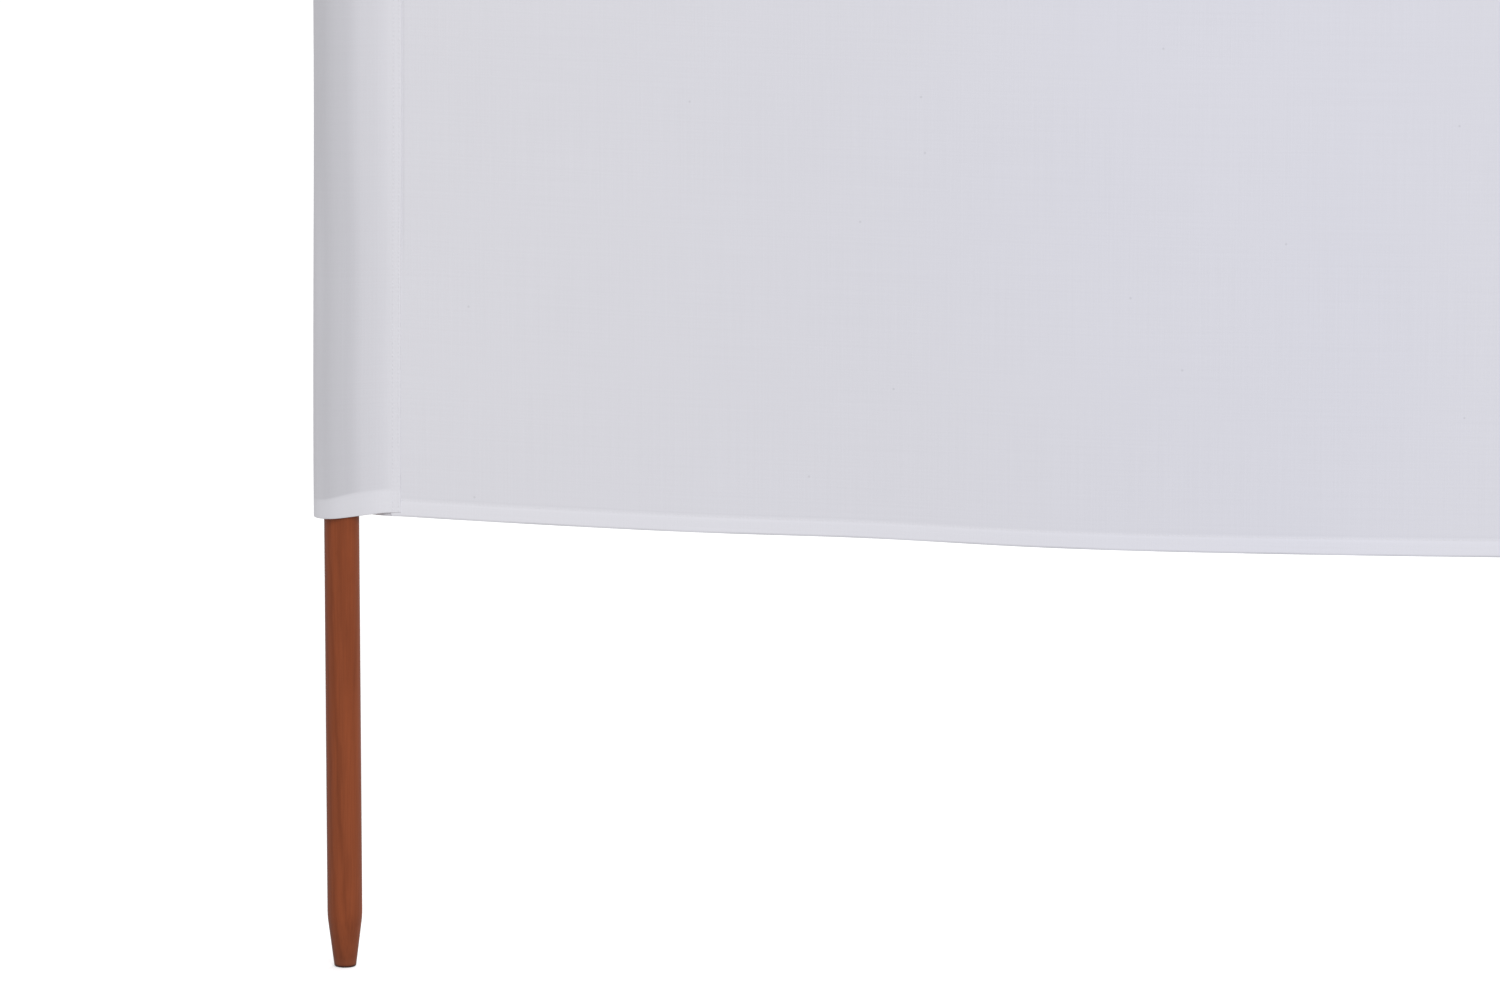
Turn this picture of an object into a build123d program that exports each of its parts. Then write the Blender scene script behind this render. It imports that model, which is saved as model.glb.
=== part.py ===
from build123d import *
import os
from math import asin, degrees, sin

# A beach windbreak: a long cloth screen in equal bays, carried on pointed wooden posts.
# Each post stands in a pocket that is sewn from the top of the cloth to the bottom. At the ends the
# cloth is folded round the post and lapped back on itself; at the posts between, a strip is lapped on
# along both its sides. Each bay is cut a little slack, so it sags between its posts and fills with wind.
# Frame: +X along the screen, +Z up, the laps face -Y. The origin is on the flat end of the point of
# the middle post, or of the post left of the middle where the number of bays is odd.

# Driving dimensions, in millimetres.

# The screen as a whole.
bay_count = 4
bay_pitch = 1330.0
cloth_height = 845.0
cloth_thickness = 1.0
hem_width = 13.0

# Post: a turned dowel, cut to a blunt point at the foot and rounded at the head.
post_diameter = 25.0
spike_length = 327.0
head_length = 28.0
head_round = 5.0
point_length = 37.0
point_end_diameter = 15.5
point_end_chamfer = 1.2
point_shoulder_round = 60.0

# Pocket round a post: its room round the post, and where its layers meet and are sewn together.
pocket_clearance = 0.3
end_pocket_slack = 1.6
seam_beyond_post = 21.5
lap_width = 8.5

# Slack of a bay at the middle of its width: how far its edges hang down and its cloth bellies out.
bottom_sag = 11.5
top_sag = 8.0
bottom_belly = 12.0
middle_belly = 16.0
top_belly = 8.0

# Sizes that follow from them.
post_radius = post_diameter / 2
post_length = spike_length + cloth_height + head_length
seam_reach = post_radius + seam_beyond_post
bay_start = seam_reach + lap_width
bay_width = bay_pitch - 2 * bay_start
snug_radius = post_radius + pocket_clearance + cloth_thickness
slack_radius = snug_radius + end_pocket_slack
seam_spread = asin(snug_radius / seam_reach)
hem_share = hem_width / cloth_height


def make_post():
    """One post, standing on the flat end of its point."""
    corners = [
        (0, 0),
        (point_end_diameter / 2, 0),
        (post_radius, point_length),
        (post_radius, post_length),
        (0, post_length),
    ]
    half_section = make_face(Plane.XZ * Polyline(*corners, close=True))
    treatments = ((chamfer, point_end_chamfer), (fillet, point_shoulder_round), (fillet, head_round))
    for (across, up), (treatment, size) in zip(corners[1:4], treatments):
        corner = half_section.vertices().sort_by_distance((across, 0, up))[0]
        half_section = treatment(corner, size)
    return revolve(half_section, Axis.Z)


def end_pocket():
    """Inside outline of the pocket at the screen's left end: a loop that closes at one seam."""
    seam = Vector(seam_reach, 0)
    middle = seam - Vector(slack_radius / sin(seam_spread), 0)
    spread = degrees(seam_spread)
    loop = CenterArc(middle, slack_radius, 90 - spread, 180 + 2 * spread)
    return make_face([loop, Line(loop @ 1, seam), Line(seam, loop @ 0)])


def middle_pocket():
    """Inside outline of a pocket between two bays: front and back layer meet at a seam on each side."""
    right_seam = Vector(seam_reach, 0)
    left_seam = -right_seam
    spread = degrees(seam_spread)
    back = CenterArc((0, 0), snug_radius, 90 - spread, 2 * spread)
    front = CenterArc((0, 0), snug_radius, 270 - spread, 2 * spread)
    sides = [
        Line(back @ 1, left_seam),
        Line(left_seam, front @ 0),
        Line(front @ 1, right_seam),
        Line(right_seam, back @ 0),
    ]
    return make_face([back, front, *sides])


def make_sleeve(pocket, lap_sides):
    """A pocket's cloth wall, with a hem turned inside both mouths and a two-layer lap at each seam."""
    wall = offset(pocket, cloth_thickness, kind=Kind.INTERSECTION)
    for side in lap_sides:
        lap = Rectangle(lap_width + cloth_thickness, 2 * cloth_thickness)
        middle_of_lap = seam_reach + (lap_width - cloth_thickness) / 2
        wall += Pos(side * middle_of_lap, 0) * lap
    mouth = offset(pocket, -cloth_thickness, kind=Kind.INTERSECTION)
    room = Pos(0, 0, hem_width) * extrude(pocket, cloth_height - 2 * hem_width)
    return extrude(wall, cloth_height) - extrude(mouth, cloth_height) - room


def bay_row(height, sag, belly):
    """Three control points across a bay. The curve passes half way to the one in the middle."""
    return [
        Vector(0, 0, height),
        Vector(bay_width / 2, -2 * belly, height - 2 * sag),
        Vector(bay_width, 0, height),
    ]


bay_rows = [
    bay_row(0, bottom_sag, bottom_belly),
    bay_row(cloth_height / 2, (bottom_sag + top_sag) / 2, middle_belly),
    bay_row(cloth_height, top_sag, top_belly),
]


def between_rows(low, middle, high, first, second):
    """A control point of the part of a curve that lies between two shares of its length."""
    lower = low + (middle - low) * first
    upper = middle + (high - middle) * first
    return lower + (upper - lower) * second


def make_bay_cloth(low_share, high_share, layer):
    """One layer of a bay's cloth between two shares of its height. Layer 0 is in front."""
    net = [
        [between_rows(*column, first, second) for column in zip(*bay_rows)]
        for first, second in (
            (low_share, low_share),
            (low_share, high_share),
            (high_share, high_share),
        )
    ]
    sheet = Pos(0, layer * cloth_thickness, 0) * Face.make_bezier_surface(net)
    return extrude(sheet, cloth_thickness, dir=(0, 1, 0))


def write_node(name, solid, along, up):
    """One named piece, set at its place along the screen."""
    export_step(Pos(along, 0, up) * solid, os.path.join("parts", name + ".step"))


def post_place(number):
    """Where a post's axis stands along the screen."""
    return (number - bay_count // 2) * bay_pitch


os.makedirs("parts", exist_ok=True)

post = make_post()
left_sleeve = make_sleeve(end_pocket(), [1])
right_sleeve = mirror(left_sleeve, Plane.YZ)
middle_sleeve = make_sleeve(middle_pocket(), [-1, 1])

for number in range(bay_count + 1):
    sleeve = {0: left_sleeve, bay_count: right_sleeve}.get(number, middle_sleeve)
    write_node(f"post_{number + 1}", post, post_place(number), 0)
    write_node(f"sleeve_{number + 1}", sleeve, post_place(number), spike_length)

panel = make_bay_cloth(0, 1, layer=0)
bottom_hem = make_bay_cloth(0, hem_share, layer=1)
top_hem = make_bay_cloth(1 - hem_share, 1, layer=1)

for number in range(bay_count):
    left_edge = post_place(number) + bay_start
    write_node(f"panel_{number + 1}", panel, left_edge, spike_length)
    write_node(f"bottom_hem_{number + 1}", bottom_hem, left_edge, spike_length)
    write_node(f"top_hem_{number + 1}", top_hem, left_edge, spike_length)
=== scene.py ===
import math
import random

import bmesh
import bpy
from mathutils import Matrix, Vector


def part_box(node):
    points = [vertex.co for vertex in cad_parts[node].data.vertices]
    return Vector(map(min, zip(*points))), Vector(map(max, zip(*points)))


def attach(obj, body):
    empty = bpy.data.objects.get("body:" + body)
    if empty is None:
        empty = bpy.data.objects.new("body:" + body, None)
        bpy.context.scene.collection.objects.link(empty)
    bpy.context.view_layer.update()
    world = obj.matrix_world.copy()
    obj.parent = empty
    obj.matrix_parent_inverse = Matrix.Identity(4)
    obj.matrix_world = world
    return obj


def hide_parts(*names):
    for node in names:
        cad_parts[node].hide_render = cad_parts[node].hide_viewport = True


# A beach windbreak, in metres: a cloth screen in slack bays, sewn into pockets that its posts stand in.
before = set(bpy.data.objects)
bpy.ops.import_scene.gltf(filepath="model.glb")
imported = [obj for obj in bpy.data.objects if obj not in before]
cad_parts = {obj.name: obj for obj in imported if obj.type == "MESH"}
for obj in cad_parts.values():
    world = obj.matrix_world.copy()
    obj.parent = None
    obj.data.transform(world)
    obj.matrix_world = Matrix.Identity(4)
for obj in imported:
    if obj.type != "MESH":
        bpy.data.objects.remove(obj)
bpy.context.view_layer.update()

# Bays of the screen
# Each bay is one width of thin, plain-woven white cotton. It is cut a little slack, so it sags and
# fills between its posts. Its lower and upper edges are turned to the back as narrow hems.
bay_numbers = range(1, 1 + sum(name.startswith("panel_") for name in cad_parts))
bay_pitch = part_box("post_2")[0].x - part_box("post_1")[0].x
cloth_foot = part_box("sleeve_1")[0].z
cloth_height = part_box("sleeve_1")[1].z - cloth_foot
cloth_gauge = 0.0003
bay_rows = 64
free_columns = 120

# A turned edge, and the row of stitches that draws its two layers together
hem_width = 0.013
hem_fade = (hem_width - 0.0008, hem_width + 0.0002)
hem_run_out = 0.020
fold_radius = 0.0003
fold_bend = fold_radius * math.pi / 2
stitch_height = 0.0115
stitch_draw = 0.0012
stitch_dip = 0.00022
hem_rows = 5
fold_rows = 6
run_out_rows = 16

# The slack of a bay, with its ripples and a ruck in each of its edges
bottom_sag = cloth_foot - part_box("bottom_hem_1")[0].z
top_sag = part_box("top_hem_1")[1].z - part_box("top_hem_1")[0].z - hem_width
bottom_belly = -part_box("bottom_hem_1")[0].y
middle_belly = 0.016
top_belly = -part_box("top_hem_1")[0].y
ripple_depth = 0.0022
ripple_waves = ((1.0, 1.4, 0.5), (0.5, 2.6, -0.8))
ruck_shares = (0.27, 0.66, 0.38, 0.72)
ruck_width_share = 0.075
ruck_height = 0.16
ruck_lift = 0.0016
ruck_depth = 0.0025

# The sides of a bay, tucked under the laps that press on it
tucked_under_lap = 0.007
tucked_share = 0.5
pressed_reach = 0.008
pressed_columns = 24
pocket_lean = 0.0029
pocket_lean_height = 0.45 * cloth_height
seam_dip = 0.0004
seam_dip_distance = 0.0007
seam_dip_width = 0.0009
seam_dip_heights = (0.16, 0.22)

# Painted shade along the underside of the lower fold, in patches
fold_shade_depth = 1.8
fold_shade_heights = (0.0004, 0.0015)
fold_shade_mean = 0.65
fold_shade_swing = 0.35
fold_shade_waves = (23, 61)
fold_shade_offset = 1

# Colours and threads of the cloth, with painted cool light and painted shade. The tones and roughness of
# slubs and mottles are a swing and a base
single_cloth_colour = (0.79, 0.783, 0.83, 1)
double_cloth_colour = (0.84, 0.833, 0.88, 1)
plain_tint = (1, 1, 1, 1)
# Painted cool light: a bluer tint laid on the cloth away from the posts, in patches
cool_light_tint = (0.972, 0.979, 1.012, 1)
cool_light_patches = (2.4, 1.8, 1)
cool_light_strength = 1.6
# Painted shade: how much the 'shade' points darken the cloth, and how much a doubled hem hides it
painted_shade_strength = 0.23
hem_veil = 0.4
threads_per_metre = 1700
thread_turns = threads_per_metre * math.tau
thread_relief = 0.35
slub_long = 9
slub_short = 700
slub_tone = (0.035, 0.965)
slub_roughness = (0.1, 0.72)
mottle_patches = (5, 5, 1)
mottle_tone = (0.024, 0.988)
neps_per_metre = 7
nep_sizes = (0.00044, 0.0011)
nep_tones = (0.88, 1.0)


def steps(start, end, count):
    """Even steps from start up to end, which the next stretch begins with."""
    return [start + (end - start) * step / count for step in range(count)]


def smooth_step(low, high, value):
    """A soft change from 0 at low to 1 at high."""
    share = min(1.0, max(0.0, (value - low) / (high - low)))
    return share * share * (3 - 2 * share)


def bell(distance, width):
    """A soft bump: 1 at no distance, and nearly nothing beyond twice its width."""
    return math.exp(-((distance / width) ** 2))


def from_edge(height):
    """How far a height on the cloth is from the nearer of its lower and upper edges."""
    return min(height, cloth_height - height)


def in_hem(height):
    """1 on a hem and 0 on the single cloth between the hems."""
    return 1 - smooth_step(*hem_fade, from_edge(height))


def stitch_pull(height):
    """How far a row of stitches draws the cloth's two layers together."""
    return stitch_dip * bell(from_edge(height) - stitch_height, stitch_draw)


def pocket_shift(side, height):
    """How far an end pocket's cloth is drawn towards its bay at a height, away from its mouths."""
    return side * pocket_lean * smooth_step(0, pocket_lean_height, from_edge(height))


def turned_edge(length):
    """Height and depth of cloth at a turned edge, by the way along the cloth from the fold."""
    bend = min(math.pi / 2, max(-math.pi / 2, length / fold_radius))
    straight = max(0.0, abs(length) - fold_bend)
    return fold_radius * (1 - math.cos(bend)) + straight, fold_radius * (1 - math.sin(bend))


def hemmed_rows(body_rows):
    """Height and depth of each row of a sheet whose lower and upper edges are both turned in."""
    lengths = steps(-hem_width, -fold_bend, hem_rows) + steps(-fold_bend, fold_bend, fold_rows)
    lengths += steps(fold_bend, hem_run_out, run_out_rows)
    lower = [turned_edge(length) for length in lengths]
    body = [(rise, 0.0) for rise in steps(hem_run_out, cloth_height - hem_run_out, body_rows)]
    upper = [(cloth_height - rise, depth) for rise, depth in reversed(lower)]
    return lower + body + upper


def set_inputs(tree, node, inputs):
    """Sets the values of a shader node and draws its links."""
    for name, value in inputs.items():
        if isinstance(value, bpy.types.NodeSocket):
            tree.links.new(value, node.inputs[name])
        else:
            node.inputs[name].default_value = value


def add_node(tree, kind, inputs, **settings):
    """A shader node with its settings made, its values set and its links drawn."""
    node = tree.nodes.new(kind)
    for name, value in settings.items():
        setattr(node, name, value)
    set_inputs(tree, node, inputs)
    return node


def new_material(name):
    """A material, its nodes, and the shader that is joined to its output."""
    material = bpy.data.materials.new(name)
    material.use_nodes = True
    return material, material.node_tree, material.node_tree.nodes["Principled BSDF"]


def point_value(tree, name):
    """A value that the points of a piece carry."""
    return add_node(tree, "ShaderNodeAttribute", {}, attribute_name=name).outputs["Fac"]


def mix_colours(tree, share, first, second, blend_type="MIX"):
    """Two colours mixed, or the first multiplied by the second."""
    inputs = {"Factor": share, "A": first, "B": second}
    mix = add_node(tree, "ShaderNodeMix", inputs, data_type="RGBA", blend_type=blend_type)
    return mix.outputs["Result"]


def noise_nodes():
    """A node group: noise that is drawn out along the threads or the grain of a material."""
    group = bpy.data.node_groups.new("drawn_out_noise", "ShaderNodeTree")
    sockets = {"Place": "NodeSocketVector", "Stretch": "NodeSocketVector", "Detail": "NodeSocketFloat"}
    for name, kind in sockets.items():
        group.interface.new_socket(name, in_out="INPUT", socket_type=kind)
    group.interface.new_socket("Value", in_out="OUTPUT", socket_type="NodeSocketFloat")
    given = group.nodes.new("NodeGroupInput").outputs
    scaled = add_node(group, "ShaderNodeMapping", {"Vector": given["Place"], "Scale": given["Stretch"]})
    inputs = {"Vector": scaled.outputs["Vector"], "Scale": 1.0, "Detail": given["Detail"]}
    noise = add_node(group, "ShaderNodeTexNoise", inputs)
    add_node(group, "NodeGroupOutput", {"Value": noise.outputs["Fac"]})
    return group


noise_group = noise_nodes()


def drawn_out_noise(tree, place, stretch, detail):
    """That noise in one material, with the material's own values."""
    inputs = {"Place": place, "Stretch": stretch, "Detail": detail}
    return add_node(tree, "ShaderNodeGroup", inputs, node_tree=noise_group).outputs["Value"]


screen_cloth, cloth_tree, cloth_shader = new_material("screen_cloth")
cloth_place = add_node(cloth_tree, "ShaderNodeUVMap", {}, uv_map="weave").outputs["UV"]
thread_place = add_node(cloth_tree, "ShaderNodeSeparateXYZ", {"Vector": cloth_place}).outputs
is_doubled = point_value(cloth_tree, "doubled")
is_shaded = point_value(cloth_tree, "shade")


def cloth_value(operation, *values):
    """One step of arithmetic on values that vary over the cloth."""
    node = add_node(cloth_tree, "ShaderNodeMath", dict(enumerate(values)), operation=operation)
    return node.outputs["Value"]


weft_slub = drawn_out_noise(cloth_tree, cloth_place, (slub_long, slub_short, 1), detail=2)
warp_slub = drawn_out_noise(cloth_tree, cloth_place, (slub_short, slub_long, 1), detail=2)
slub = cloth_value("ADD", weft_slub, warp_slub)
warp = cloth_value("SINE", cloth_value("MULTIPLY", thread_place["X"], thread_turns))
weft = cloth_value("SINE", cloth_value("MULTIPLY", thread_place["Y"], thread_turns))
over_under = cloth_value("MULTIPLY", warp, weft)
thread_height = cloth_value("MULTIPLY_ADD", over_under, thread_relief, slub)
thread_bump = add_node(
    cloth_tree,
    "ShaderNodeBump",
    {"Height": thread_height, "Strength": 0.35, "Distance": 0.00012},
)
# Painted cool light, strongest midway between the posts and patchy
near_post = cloth_value("COSINE", cloth_value("MULTIPLY", thread_place["X"], math.tau / bay_pitch))
from_posts = cloth_value("MULTIPLY_ADD", near_post, -0.5, 0.5)
cool_light_noise = drawn_out_noise(cloth_tree, cloth_place, cool_light_patches, detail=2)
cool_light_share = cloth_value("MULTIPLY", from_posts, cloth_value("MULTIPLY", cool_light_noise, cool_light_strength))
painted_cool_light = mix_colours(cloth_tree, cool_light_share, plain_tint, cool_light_tint)
layer_colour = mix_colours(cloth_tree, is_doubled, single_cloth_colour, double_cloth_colour)
cool_lit_colour = mix_colours(cloth_tree, 1.0, layer_colour, painted_cool_light, "MULTIPLY")
# Painted shade from the 'shade' points, less where a hem or lap doubles the cloth
bare_share = cloth_value("MULTIPLY_ADD", is_doubled, -hem_veil, 1.0)
seen_shade = cloth_value("MULTIPLY", is_shaded, bare_share)
shade_tone = cloth_value("MULTIPLY_ADD", seen_shade, -painted_shade_strength, 1.0)
mottle = drawn_out_noise(cloth_tree, cloth_place, mottle_patches, detail=3)
even_tone = cloth_value(
    "MULTIPLY",
    cloth_value("MULTIPLY_ADD", slub, *slub_tone),
    cloth_value("MULTIPLY_ADD", mottle, *mottle_tone),
)
nep_cells = add_node(
    cloth_tree,
    "ShaderNodeTexVoronoi",
    {"Vector": cloth_place, "Scale": neps_per_metre},
    voronoi_dimensions="2D",
)
nep_tone = add_node(
    cloth_tree,
    "ShaderNodeMapRange",
    {
        "Value": nep_cells.outputs["Distance"],
        "From Min": nep_sizes[0] * neps_per_metre,
        "From Max": nep_sizes[1] * neps_per_metre,
        "To Min": nep_tones[0],
        "To Max": nep_tones[1],
    },
)
shaded_and_spotted_tone = cloth_value("MULTIPLY", shade_tone, nep_tone.outputs["Result"])
cloth_tone = cloth_value("MULTIPLY", shaded_and_spotted_tone, even_tone)
cloth_colour = add_node(
    cloth_tree,
    "ShaderNodeVectorMath",
    {0: cool_lit_colour, "Scale": cloth_tone},
    operation="SCALE",
)
cloth_looks = {
    "Base Color": cloth_colour.outputs["Vector"],
    "Roughness": cloth_value("MULTIPLY_ADD", slub, *slub_roughness),
    "Normal": thread_bump.outputs["Normal"],
    "Specular IOR Level": 0.25,
    "Sheen Weight": 0.12,
    "Sheen Roughness": 0.5,
}
set_inputs(cloth_tree, cloth_shader, cloth_looks)


def add_object(name, bm, material):
    """A finished mesh as an object at the origin, smooth and in one material."""
    for face in bm.faces:
        face.smooth = True
    mesh = bpy.data.meshes.new(name)
    bm.to_mesh(mesh)
    bm.free()
    mesh.materials.append(material)
    piece = bpy.data.objects.new(name, mesh)
    bpy.context.scene.collection.objects.link(piece)
    return piece


def hang_sheet(name, strips, rows, place, marks):
    """A piece of cloth: a flat grid for each of its strips, with every point moved to where it hangs."""
    bm = bmesh.new()
    doubled = bm.verts.layers.float.new("doubled")
    shade = bm.verts.layers.float.new("shade")
    weave = bm.loops.layers.uv.new("weave")
    for columns, lengths in strips:
        grid = bmesh.ops.create_grid(bm, x_segments=len(columns) - 1, y_segments=len(rows) - 1, size=1)
        spots = [(across, up) for up in range(len(rows)) for across in range(len(columns))]
        for vert, (across, up) in zip(grid["verts"], spots):
            height, depth = rows[up]
            vert.co = place(columns[across], height, depth)
            vert[doubled], vert[shade] = marks(columns[across], height)
            for loop in vert.link_loops:
                loop[weave].uv = (lengths[across], height)
    sheet = add_object(name, bm, screen_cloth)
    gauge = sheet.modifiers.new("gauge", "SOLIDIFY")
    gauge.thickness = cloth_gauge
    gauge.offset = 0
    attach(sheet, "root")
    return sheet


def bay_hang(number):
    """The way one bay hangs, as a function of the place on its flat cloth, and its left and right side."""
    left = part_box(f"panel_{number}")[0].x
    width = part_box(f"panel_{number}")[1].x - left
    chance = random.Random(number)
    phases = [chance.uniform(0, math.tau) for _ in ripple_waves]
    ruck_share = ruck_shares[(number - 1) % len(ruck_shares)]
    left_side = 1 if number == bay_numbers[0] else 0
    right_side = -1 if number == bay_numbers[-1] else 0

    def place(along, height, depth):
        from_left = along - left
        from_right = left + width - along
        share = min(1.0, max(0.0, from_left / width))
        up = height / cloth_height
        slack = 4 * share * (1 - share)
        sag = bottom_sag + (top_sag - bottom_sag) * up
        belly = bottom_belly * (1 - up) ** 2 + 2 * middle_belly * up * (1 - up) + top_belly * up**2
        ripple = sum(
            strength * math.sin(math.tau * (waves_along * share + waves_up * up) + phase)
            for (strength, waves_along, waves_up), phase in zip(ripple_waves, phases)
        )
        low_ruck = bell(share - ruck_share, ruck_width_share) * math.exp(-height / ruck_height)
        high_ruck = bell(1 - share - ruck_share, ruck_width_share)
        high_ruck *= math.exp((height - cloth_height) / ruck_height)
        left_step = from_left - pocket_shift(left_side, height)
        right_step = from_right + pocket_shift(right_side, height)
        dip = seam_dip * smooth_step(*seam_dip_heights, from_edge(height))
        pull = stitch_pull(height) * (1 if depth < fold_radius else -1)
        for step in (left_step, right_step):
            pull += dip * bell(step - seam_dip_distance, seam_dip_width)
        tucked = min(from_left, from_right) < 0
        across = depth * (tucked_share if tucked else 1) + pull + ruck_depth * (low_ruck + high_ruck)
        across += slack * (ripple_depth * ripple - belly)
        return Vector((along, across, cloth_foot + height - slack * sag + ruck_lift * (low_ruck - high_ruck)))

    return place, left, left + width


def bay_marks(along, height):
    """Where a bay's cloth is doubled by a hem, and how much painted shade darkens its lower edge under the
    fold.
    """
    # Painted shade under the lower fold, in patches along the edge
    long_wave, short_wave = fold_shade_waves
    patches = math.sin(long_wave * along) * math.sin(short_wave * along + fold_shade_offset)
    fold_shade = fold_shade_depth * (fold_shade_mean + fold_shade_swing * patches)
    return in_hem(height), fold_shade * (1 - smooth_step(*fold_shade_heights, height))


bays = {}
for number in bay_numbers:
    place, left, right = bay_hang(number)
    left_edge = left - tucked_under_lap
    right_edge = right + tucked_under_lap
    columns = steps(left_edge, left + pressed_reach, pressed_columns)
    columns += steps(left + pressed_reach, right - pressed_reach, free_columns)
    columns += steps(right - pressed_reach, right_edge, pressed_columns) + [right_edge]
    bay = hang_sheet(f"bay_cloth_{number}", [(columns, columns)], hemmed_rows(bay_rows), place, bay_marks)
    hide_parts(f"panel_{number}", f"bottom_hem_{number}", f"top_hem_{number}")
    bays[number] = (bay, place, left, right)

# Hem stitches
# Each hem is held by one row of lockstitch in white cotton thread. A stitch shows as a short bead of
# thread on the front of the cloth and another on its back, half sunk in the weave.
thread_radius = 0.00017
stitch_length = 0.0031
stitch_share = 0.82
thread_fuzz = 1800
thread_shades = ((0.74, 0.735, 0.77, 1), (0.9, 0.893, 0.93, 1))

sewing_thread, thread_tree, thread_shader = new_material("sewing_thread")
thread_coat = add_node(thread_tree, "ShaderNodeTexCoord", {}).outputs["Object"]
thread_noise = drawn_out_noise(thread_tree, thread_coat, (thread_fuzz, thread_fuzz, thread_fuzz), detail=2)
thread_colour = mix_colours(thread_tree, thread_noise, *thread_shades)
thread_looks = {"Base Color": thread_colour, "Roughness": 0.5, "Sheen Weight": 0.2}
set_inputs(thread_tree, thread_shader, thread_looks)

stitch_bm = bmesh.new()
bmesh.ops.create_icosphere(stitch_bm, subdivisions=1, radius=1)
stitch_mesh = bpy.data.meshes.new("stitch")
stitch_bm.to_mesh(stitch_mesh)
stitch_bm.free()


def sew(name, seams):
    """Rows of lockstitch: a short bead of thread from each point of a seam to the next."""
    bm = bmesh.new()
    for seam in seams:
        for start, end in zip(seam, seam[1:]):
            run = end - start
            turn = run.to_track_quat("X", "Z").to_matrix().to_4x4()
            shape = Matrix.Diagonal((run.length * stitch_share / 2, thread_radius, thread_radius, 1))
            stitch = stitch_mesh.copy()
            stitch.transform(Matrix.Translation((start + end) / 2) @ turn @ shape)
            bm.from_mesh(stitch)
            bpy.data.meshes.remove(stitch)
    thread = add_object(name, bm, sewing_thread)
    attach(thread, "root")
    return thread


for number, (bay, place, left, right) in bays.items():
    stitch_places = steps(left, right, round((right - left) / stitch_length))
    seams = []
    for height in (stitch_height, cloth_height - stitch_height):
        for depth in (-cloth_gauge / 2, 2 * fold_radius + cloth_gauge / 2):
            seams.append([place(along, height, depth) for along in stitch_places])
    sew(f"hem_stitches_{number}", seams)

# Pockets
# At each post the same cloth is doubled into a pocket from the top edge to the bottom: folded round the
# end posts, and with a strip laid on in front of the posts between. Its laps lie flat on the bays.
pocket_wall = 0.001
pocket_rows = 60
loop_columns = 44
strip_columns = 20
lap_columns = 6
run_columns = 14
soften_passes = 3

# The laps, thicker where hems lie in them
lap_width = 0.0085
lap_layer = 0.0004
lap_edge_share = 0.75
lap_press = 0.004
pressed_share = 0.5
front_bulk = 0.0002
back_bulk = 0.0005

# The mouth, which rises towards the lap and drops at the fold, with its hem aslant
mouth_height = 0.07
lap_rise = 0.0028
fold_drop = 0.0006
rise_start = -0.017
rise_end = 0.042
hem_slant = 0.0041
hem_slant_reaches = (-0.02, 0.014)
middle_round = 0.006

# Where the cloth is in front, where it is doubled, and the painted shade of the post inside, seen through the
# cloth and lessened at the fold
loop_front_shares = (0.42, 0.58)
whole_front_shares = (1, 2)
whole_back_shares = (-2, -1)
lap_doubled = 0.6
lap_doubled_reaches = (0.03, 0.039)
# Painted shade of the post seen through the cloth: full near the post, gone at the lap, wider in the hem
near_shade_reaches = (0.006, 0.0195)
far_shade_reaches = (0.018, 0.05)
hem_shade_reaches = (0, 0.05)
# Painted shade lessened towards an end pocket's fold, and its edge wandering up the pocket
fold_shade_lessening = 0.75
fold_shade_lessening_reaches = (-0.006, -0.0175)
touch_wander = 0.0012
touch_waves = (26, 9)


def run_to_post(edge, seam, layer, touch):
    """Section of a lap and of the cloth that leaves it for the post, from the lap's edge."""
    start = Vector((edge, lap_edge_share * layer))
    bend = Vector((seam, layer))
    lap = [start.lerp(bend, share) for share in steps(0, 1, lap_columns)]
    return lap + [bend.lerp(touch, share) for share in steps(0, 1, run_columns)]


def arc(middle, radius, start, end, count):
    """Section of cloth that lies round a post or hangs in a loop beside it."""
    turns = steps(start, end, count) + [end]
    return [middle + radius * Vector((math.cos(turn), math.sin(turn))) for turn in turns]


def soften(points):
    """Takes the corners off a section, because cloth does not crease where it leaves a seam."""
    for _ in range(soften_passes):
        inner = [(a + 2 * b + c) / 4 for a, b, c in zip(points, points[1:], points[2:])]
        points = [points[0], *inner, points[-1]]
    return points


def with_outward(points, front_shares):
    """Each point of a section, the way out of the pocket there, and whether it belongs to the front."""
    ways = [(after - before).normalized() for before, after in zip(points, points[1:])]
    ways = [ways[0], *((a + b).normalized() for a, b in zip(ways, ways[1:])), ways[-1]]
    turns = (Vector((-way.y, way.x)) for way in ways)
    fronts = (1 - smooth_step(*front_shares, index / len(points)) for index in range(len(points)))
    return list(zip(points, turns, fronts))


def end_section(depth, fold_reach, edge):
    """Section of the left end's pocket, from the lap's front edge round the post to its back edge."""
    radius = (depth - pocket_wall) / 2
    middle = Vector((depth / 2 - fold_reach, 0))
    seam = edge - lap_width
    spread = math.asin(radius / (seam - middle.x))
    loop = arc(middle, radius, spread - math.pi / 2, -spread - 3 * math.pi / 2, loop_columns)
    front = run_to_post(edge, seam, -lap_layer, loop[0])
    back = run_to_post(edge, seam, lap_layer, loop[-1])
    return soften(front + loop + back[::-1])


def strip_section(depth, edge, side):
    """Section of the strip in front of a middle post, or of the cloth behind it, from lap to lap."""
    radius = (depth - pocket_wall) / 2
    seam = edge - lap_width
    spread = math.asin(radius / seam)
    start = side * (math.pi / 2 - spread)
    end = side * (math.pi / 2 + spread)
    curve = arc(Vector((0, 0)), radius, start, end, strip_columns)
    there = run_to_post(edge, seam, side * lap_layer, curve[0])
    back = run_to_post(-edge, -seam, side * lap_layer, curve[-1])
    return soften(there + curve + back[::-1])


def seam_bulk(height):
    """1 where hems make a seam thicker and 0 on the seam between the hems."""
    return 1 - smooth_step(hem_width, 2 * hem_width, from_edge(height))


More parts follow.
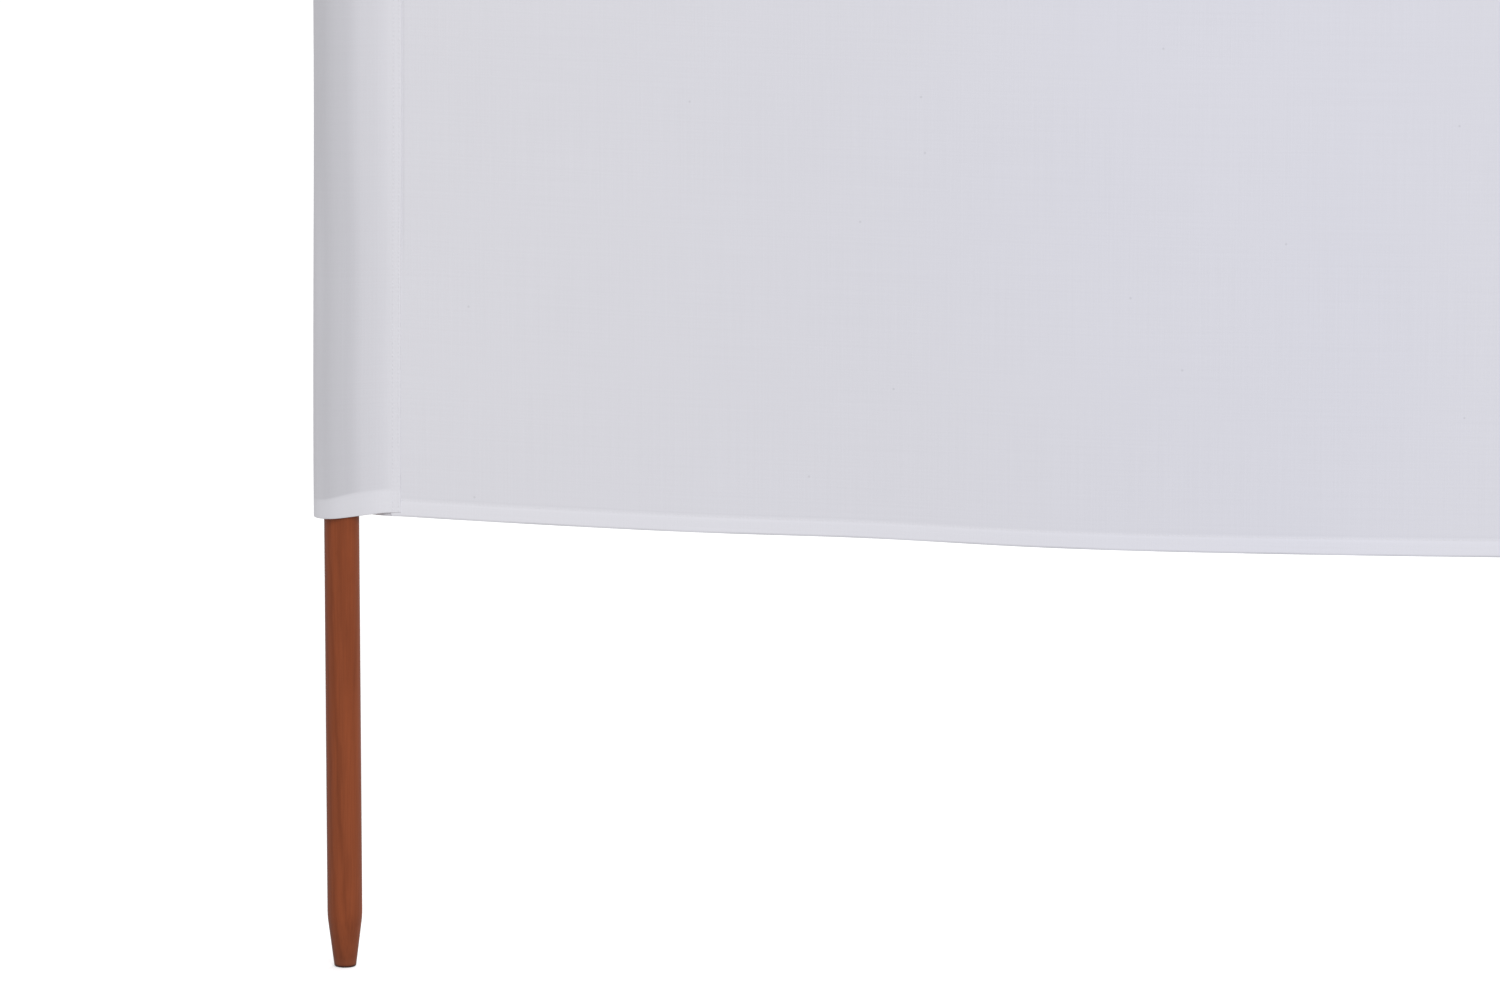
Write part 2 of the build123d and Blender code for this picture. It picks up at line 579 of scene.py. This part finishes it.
def pocket_place(post, side, seam):
    """The way a pocket's cloth hangs, as a function of the place on its flat strip."""

    def place(column, height, depth):
        point, outward, front = column
        reach = point.x if side else math.hypot(point.x, middle_round)
        along = smooth_step(rise_start * abs(side), rise_end, reach)
        lift = front * bell(height, mouth_height) * (lap_rise * along - fold_drop * (1 - along))
        slant = front * hem_slant * smooth_step(*hem_slant_reaches, reach) * min(1.0, height / hem_width)
        slant *= bell(max(0.0, height - hem_width), 2 * hem_width)
        pressed = smooth_step(seam - lap_press, seam, abs(point.x))
        spot = point - outward * depth * (1 - pressed_share * pressed)
        spot.y += (back_bulk - (front_bulk + back_bulk) * front) * pressed * seam_bulk(height)
        x = post + (side or 1) * spot.x + pocket_shift(side, height)
        return Vector((x, spot.y, cloth_foot + height + lift + slant))

    return place


def pocket_marks(side):
    """Where a pocket has two layers and how much painted shade darkens it, as a function of the place: the
    post's shade seen through the cloth, lessened at the fold.
    """

    def marks(column, height):
        reach = column[0].x if side else abs(column[0].x)
        hem = in_hem(height)
        lap = lap_doubled * smooth_step(*lap_doubled_reaches, reach)
        short_wave, long_wave = touch_waves
        reach += abs(side) * pocket_shift(1, height)
        reach += touch_wander * math.sin(short_wave * height) * math.sin(long_wave * height)
        # Painted shade: darkest over the post, fading to the lap, wider in the hem, lessened at the fold
        near = smooth_step(*near_shade_reaches, reach)
        far = smooth_step(*far_shade_reaches, reach)
        shade = 1 - (near + far) / 2
        hem_shade = 1 - smooth_step(*hem_shade_reaches, reach)
        shade += (hem_shade - shade) * hem
        shade *= 1 - fold_shade_lessening * smooth_step(*fold_shade_lessening_reaches, reach)
        return max(hem, lap), shade

    return marks


def post_place(number):
    """Where a post's axis stands along the screen."""
    low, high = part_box(f"post_{number}")
    return (low.x + high.x) / 2


pockets = {}
post_numbers = range(1, len(bay_numbers) + 2)
for number in post_numbers:
    low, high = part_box(f"sleeve_{number}")
    post = post_place(number)
    side = {1: 1, post_numbers[-1]: -1}.get(number, 0)
    depth = high.y - low.y
    reaches = (post - low.x, high.x - post)
    fold_reach, lap_edge = reaches[::-1] if side < 0 else reaches
    if side:
        sections = [(end_section(depth, fold_reach, lap_edge), loop_front_shares)]
    else:
        front_strip = strip_section(depth, lap_edge, -1)
        back_strip = strip_section(depth, lap_edge, 1)[::-1]
        sections = [(front_strip, whole_front_shares), (back_strip, whole_back_shares)]
    strips = []
    flat_width = 0
    for section, front_shares in sections:
        lengths = [post + flat_width]
        for before, after in zip(section, section[1:]):
            lengths.append(lengths[-1] + (after - before).length)
        strips.append((with_outward(section, front_shares), lengths))
        flat_width = lengths[-1] - post
    place = pocket_place(post, side, lap_edge - lap_width)
    pocket = hang_sheet(f"pocket_{number}", strips, hemmed_rows(pocket_rows), place, pocket_marks(side))
    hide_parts(f"sleeve_{number}")
    pockets[number] = (pocket, post, side, lap_edge, flat_width)

# Lap stitches
# Two rows of the same lockstitch run up every lap and hold its two layers to the bay between them. The
# screen is then whole, and each of its sheets hangs from the pockets and their posts.
seam_rows = (0.0016, 0.0057)
seam_margin = 0.003
seam_heights = steps(seam_margin, cloth_height - seam_margin, round(cloth_height / stitch_length))


def lap_seam(along, side, face, bulk):
    """Points of one row of stitches up the front or the back of a lap."""
    seam = []
    for height in seam_heights:
        across = face * (lap_layer + cloth_gauge / 2 + bulk * seam_bulk(height))
        seam.append(Vector((along + pocket_shift(side, height), across, cloth_foot + height)))
    return seam


for number, (pocket, post, side, lap_edge, flat_width) in pockets.items():
    seams = []
    for lap_side in (side,) if side else (-1, 1):
        for inset in seam_rows:
            along = post + lap_side * (lap_edge - inset)
            seams += [lap_seam(along, side, -1, front_bulk), lap_seam(along, side, 1, back_bulk)]
    lap_thread = sew(f"lap_stitches_{number}", seams)

# Posts
# Each post is a turned softwood dowel, stained reddish brown under a thin satin varnish. Its foot is
# turned to a blunt point, its head is rounded over, and it is pushed up into its pocket from below.
post_radius = (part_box("post_1")[1].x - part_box("post_1")[0].x) / 2
post_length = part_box("post_1")[1].z
post_sides = 56
ring_spacing = 0.03
point_length = 0.037
point_end_radius = 0.00775
point_ring_shares = (0, 0.05, 0.08, 0.12, 0.2, 0.35, 0.55, 0.75)
foot_bevel = 0.0013
shoulder_bevel = 0.0038
head_bevel = 0.005
bevel_segments = 5
touching = 1e-5

# The grain, which turns another side to the front on each post, with a paler side painted on: on the first
# post it faces the front light, as painted light
pith_distance = 0.045
grain_tilt = 0.03
painted_light_turns = (45, 190, 320, 110, 250)
grain_shift = 5
chance_start = 40
fibre_stretch = (900, 900, 14)
streak_stretch = (110, 110, 2.2)
painted_light_share = 0.45
stain_colours = [
    (0.25, (0.2, 0.049, 0.0165, 1)),
    (0.5, (0.25, 0.059, 0.019, 1)),
    (0.75, (0.305, 0.07, 0.021, 1)),
]
ring_tones = [(0.0, (0.86, 0.84, 0.82, 1)), (0.6, (1, 1, 1, 1))]
fibre_tones = [(0.3, (0.88, 0.87, 0.86, 1)), (0.6, (1, 1, 1, 1))]
# A paler colour for the painted highlight on the foot's rim and the rubbed wear on the head's rim
rubbed_and_highlight_colour = (0.33, 0.12, 0.062, 1)
soaked_colour = (0.055, 0.015, 0.008, 1)

# The ends: a painted highlight along the foot's rim, the head rubbed pale along its rim, and dark where stain
# has soaked into the end grain
foot_highlight_width = 0.0009
foot_highlight_height = 0.0036
foot_soak_heights = (0.0011, 0.0024)
point_soak = 0.27
head_wear = 0.006
head_rub = 0.4
head_soak = 0.8
head_soak_depth = 0.001
rub_and_highlight = 0.3

post_wood, wood_tree, wood_shader = new_material("post_wood")
grain_place = add_node(wood_tree, "ShaderNodeAttribute", {}, attribute_name="grain").outputs["Vector"]


def wood_ramp(value, stops):
    """Colours along a value that varies through the wood."""
    ramp = add_node(wood_tree, "ShaderNodeValToRGB", {"Fac": value})
    while len(ramp.color_ramp.elements) < len(stops):
        ramp.color_ramp.elements.new(0.5)
    for element, (place, colour) in zip(ramp.color_ramp.elements, stops):
        element.position = place
        element.color = colour
    return ramp.outputs["Color"]


fibre = drawn_out_noise(wood_tree, grain_place, fibre_stretch, detail=3)
streak = drawn_out_noise(wood_tree, grain_place, streak_stretch, detail=2)
rings = add_node(
    wood_tree,
    "ShaderNodeTexWave",
    {"Vector": grain_place, "Scale": 55, "Distortion": 2.5, "Detail": 2, "Detail Scale": 0.6},
    wave_type="RINGS",
    rings_direction="Z",
)
from_pith = add_node(wood_tree, "ShaderNodeSeparateXYZ", {"Vector": grain_place}).outputs["X"]
# Painted light: one side of each post is paler; on the first post it is the side that faces the front light
painted_light_side = add_node(
    wood_tree,
    "ShaderNodeMapRange",
    {"Value": from_pith, "From Min": pith_distance - post_radius, "From Max": pith_distance + post_radius},
)
streaks_and_painted_light = add_node(
    wood_tree,
    "ShaderNodeMix",
    {"Factor": painted_light_share, "A": streak, "B": painted_light_side.outputs["Result"]},
)
# The stain, varied by its streaks and by the painted light of the paler side
stain_and_painted_light = wood_ramp(streaks_and_painted_light.outputs["Result"], stain_colours)
ringed = mix_colours(wood_tree, 1.0, stain_and_painted_light, wood_ramp(rings.outputs["Fac"], ring_tones), "MULTIPLY")
fibred = mix_colours(wood_tree, 1.0, ringed, wood_ramp(fibre, fibre_tones), "MULTIPLY")
# Painted highlight on the foot's rim and rubbed wear on the head's rim
rubbed_and_highlit = mix_colours(wood_tree, point_value(wood_tree, "wear_and_highlight"), fibred, rubbed_and_highlight_colour)
soaked = mix_colours(wood_tree, point_value(wood_tree, "end_grain"), rubbed_and_highlit, soaked_colour)
wood_gloss = add_node(wood_tree, "ShaderNodeMapRange", {"Value": fibre, "To Min": 0.52, "To Max": 0.38})
wood_bump = add_node(wood_tree, "ShaderNodeBump", {"Height": fibre, "Strength": 0.3, "Distance": 0.0002})
wood_looks = {
    "Base Color": soaked,
    "Roughness": wood_gloss.outputs["Result"],
    "Normal": wood_bump.outputs["Normal"],
    "Specular IOR Level": 0.22,
}
set_inputs(wood_tree, wood_shader, wood_looks)


def ring_edges(bm, radius, height):
    """The circle of edges round a post at one corner of its outline."""
    return [
        edge
        for edge in bm.edges
        if all(abs(vert.co.z - height) < touching for vert in edge.verts)
        and all(abs(vert.co.xy.length - radius) < touching for vert in edge.verts)
    ]


def turn_post(number):
    """One post, spun from half its outline, with its corners rounded and its wear and a painted highlight
    marked on its points.
    """
    low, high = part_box(f"post_{number}")
    axis = Vector(((low.x + high.x) / 2, (low.y + high.y) / 2, 0))
    shaft = steps(point_length, post_length, round((post_length - point_length) / ring_spacing))
    taper = post_radius - point_end_radius
    point = [(point_end_radius + taper * share, point_length * share) for share in point_ring_shares]
    outline = [(0, 0), *point, *((post_radius, height) for height in shaft)]
    outline += [(post_radius, post_length), (0, post_length)]
    bm = bmesh.new()
    verts = [bm.verts.new((radius, 0, height)) for radius, height in outline]
    edges = [bm.edges.new(pair) for pair in zip(verts, verts[1:])]
    bmesh.ops.spin(
        bm,
        geom=verts + edges,
        cent=(0, 0, 0),
        axis=(0, 0, 1),
        angle=math.tau,
        steps=post_sides,
        use_merge=True,
    )
    bmesh.ops.remove_doubles(bm, verts=bm.verts, dist=touching / 10)
    bmesh.ops.recalc_face_normals(bm, faces=bm.faces)
    corners = (
        (point_end_radius, 0, foot_bevel),
        (post_radius, point_length, shoulder_bevel),
        (post_radius, post_length, head_bevel),
    )
    for radius, height, bevel in corners:
        bmesh.ops.bevel(
            bm,
            geom=ring_edges(bm, radius, height),
            offset=bevel,
            offset_type="OFFSET",
            segments=bevel_segments,
            profile=0.5,
            affect="EDGES",
            material=-1,
        )
    chance = random.Random(chance_start + number)
    painted_light_turn = math.radians(painted_light_turns[(number - 1) % len(painted_light_turns)])
    turn = Matrix.Rotation(painted_light_turn, 3, "Z") @ Matrix.Rotation(grain_tilt, 3, "X")
    shift = Vector((pith_distance, 0, chance.uniform(0, grain_shift)))
    grain = bm.verts.layers.float_vector.new("grain")
    wear_and_highlight = bm.verts.layers.float.new("wear_and_highlight")
    end_grain = bm.verts.layers.float.new("end_grain")
    for vert in bm.verts:
        height = vert.co.z
        foot_end = 1 - smooth_step(*foot_soak_heights, height)
        head_end = head_soak * smooth_step(-head_soak_depth, 0, height - post_length)
        # A painted highlight along the foot's rim, and rubbed wear along the head's rim
        foot_highlight = bell(height - foot_highlight_height, foot_highlight_width)
        head_rim = head_rub * bell(post_length - height, head_wear)
        vert[grain] = turn @ vert.co + shift
        vert[wear_and_highlight] = rub_and_highlight * (foot_highlight + head_rim)
        vert[end_grain] = max(foot_end, head_end, point_soak * (1 - height / point_length))
    bmesh.ops.translate(bm, verts=bm.verts, vec=axis)
    post = add_object(f"wood_post_{number}", bm, post_wood)
    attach(post, "root")
    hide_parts(f"post_{number}")


for number in post_numbers:
    turn_post(number)

# Studio
# A white room with soft, even light all round and a plain pale floor that the posts stand on. A large
# soft light hangs in front to the right, and a second one behind.
view_x = post_place(1)
floor_reach = 40
floor_squares = 8
floor_patches = (3, 3, 3)
floor_shades = ((0.8, 0.8, 0.8, 1), (0.84, 0.84, 0.84, 1))
floor_glow = 0.35
room_light_below = 0.5
room_light_above = 0.8
white = (1, 1, 1, 1)

pale_floor, floor_tree, floor_shader = new_material("pale_floor")
floor_place = add_node(floor_tree, "ShaderNodeTexCoord", {}).outputs["Object"]
floor_noise = drawn_out_noise(floor_tree, floor_place, floor_patches, detail=4)
floor_looks = {
    "Base Color": mix_colours(floor_tree, floor_noise, *floor_shades),
    "Roughness": 0.9,
    "Emission Color": white,
    "Emission Strength": floor_glow,
}
set_inputs(floor_tree, floor_shader, floor_looks)
floor_bm = bmesh.new()
bmesh.ops.create_grid(floor_bm, x_segments=floor_squares, y_segments=floor_squares, size=floor_reach)
floor = add_object("floor", floor_bm, pale_floor)
floor.visible_diffuse = False
floor.visible_glossy = False


def soft_light(name, place, aim, size, power, colour):
    """A square soft light that points at a place on the screen."""
    lamp = bpy.data.lights.new(name, "AREA")
    lamp.size = size
    lamp.energy = power
    lamp.color = colour
    light = bpy.data.objects.new(name, lamp)
    light.location = place
    light.rotation_euler = (Vector(aim) - Vector(place)).to_track_quat("-Z", "Y").to_euler()
    bpy.context.scene.collection.objects.link(light)


soft_light(
    "front_light",
    place=(view_x + 3.4, -5.6, 5.2),
    aim=(view_x + 0.4, 0, 0.6),
    size=4.0,
    power=231,
    colour=(0.97, 0.975, 1.0),
)
soft_light("back_light", place=(0, 6.0, 4.0), aim=(0, 0, 0.5), size=4.0, power=150, colour=(1, 1, 1))

room = bpy.data.worlds.new("white_room")
bpy.context.scene.world = room
room.use_nodes = True
room_tree = room.node_tree
room_way = add_node(room_tree, "ShaderNodeTexCoord", {}).outputs["Generated"]
room_up = add_node(room_tree, "ShaderNodeSeparateXYZ", {"Vector": room_way}).outputs["Z"]
room_light = add_node(
    room_tree,
    "ShaderNodeMapRange",
    {
        "Value": room_up,
        "From Min": -1.0,
        "From Max": 1.0,
        "To Min": room_light_below,
        "To Max": room_light_above,
    },
)
room_seen = add_node(room_tree, "ShaderNodeLightPath", {}).outputs["Is Camera Ray"]
room_strength = add_node(
    room_tree,
    "ShaderNodeMapRange",
    {"Value": room_seen, "To Min": room_light.outputs["Result"], "To Max": 1.0},
)
room_looks = {"Color": white, "Strength": room_strength.outputs["Result"]}
set_inputs(room_tree, room_tree.nodes["Background"], room_looks)

# Camera
# A long lens looks slightly down on the screen's left end, from a little to the right of square on.
camera_lens = 200
camera_sensor = 36
camera_far = 200
camera_distance = 5.869
camera_elevation = math.radians(9.5)
camera_yaw = math.radians(7.2)
camera_aim = Vector((view_x + 0.2918, 0, 0.3439))
camera_back = Vector((
    math.sin(camera_yaw) * math.cos(camera_elevation),
    -math.cos(camera_yaw) * math.cos(camera_elevation),
    math.sin(camera_elevation),
))
lens = bpy.data.cameras.new("camera")
lens.lens = camera_lens
lens.sensor_width = camera_sensor
lens.clip_end = camera_far
camera = bpy.data.objects.new("camera", lens)
camera.location = camera_aim + camera_distance * camera_back
camera.rotation_euler = (math.pi / 2 - camera_elevation, 0, camera_yaw)
bpy.context.scene.collection.objects.link(camera)
bpy.context.scene.camera = camera
bpy.context.scene.view_settings.view_transform = "Standard"
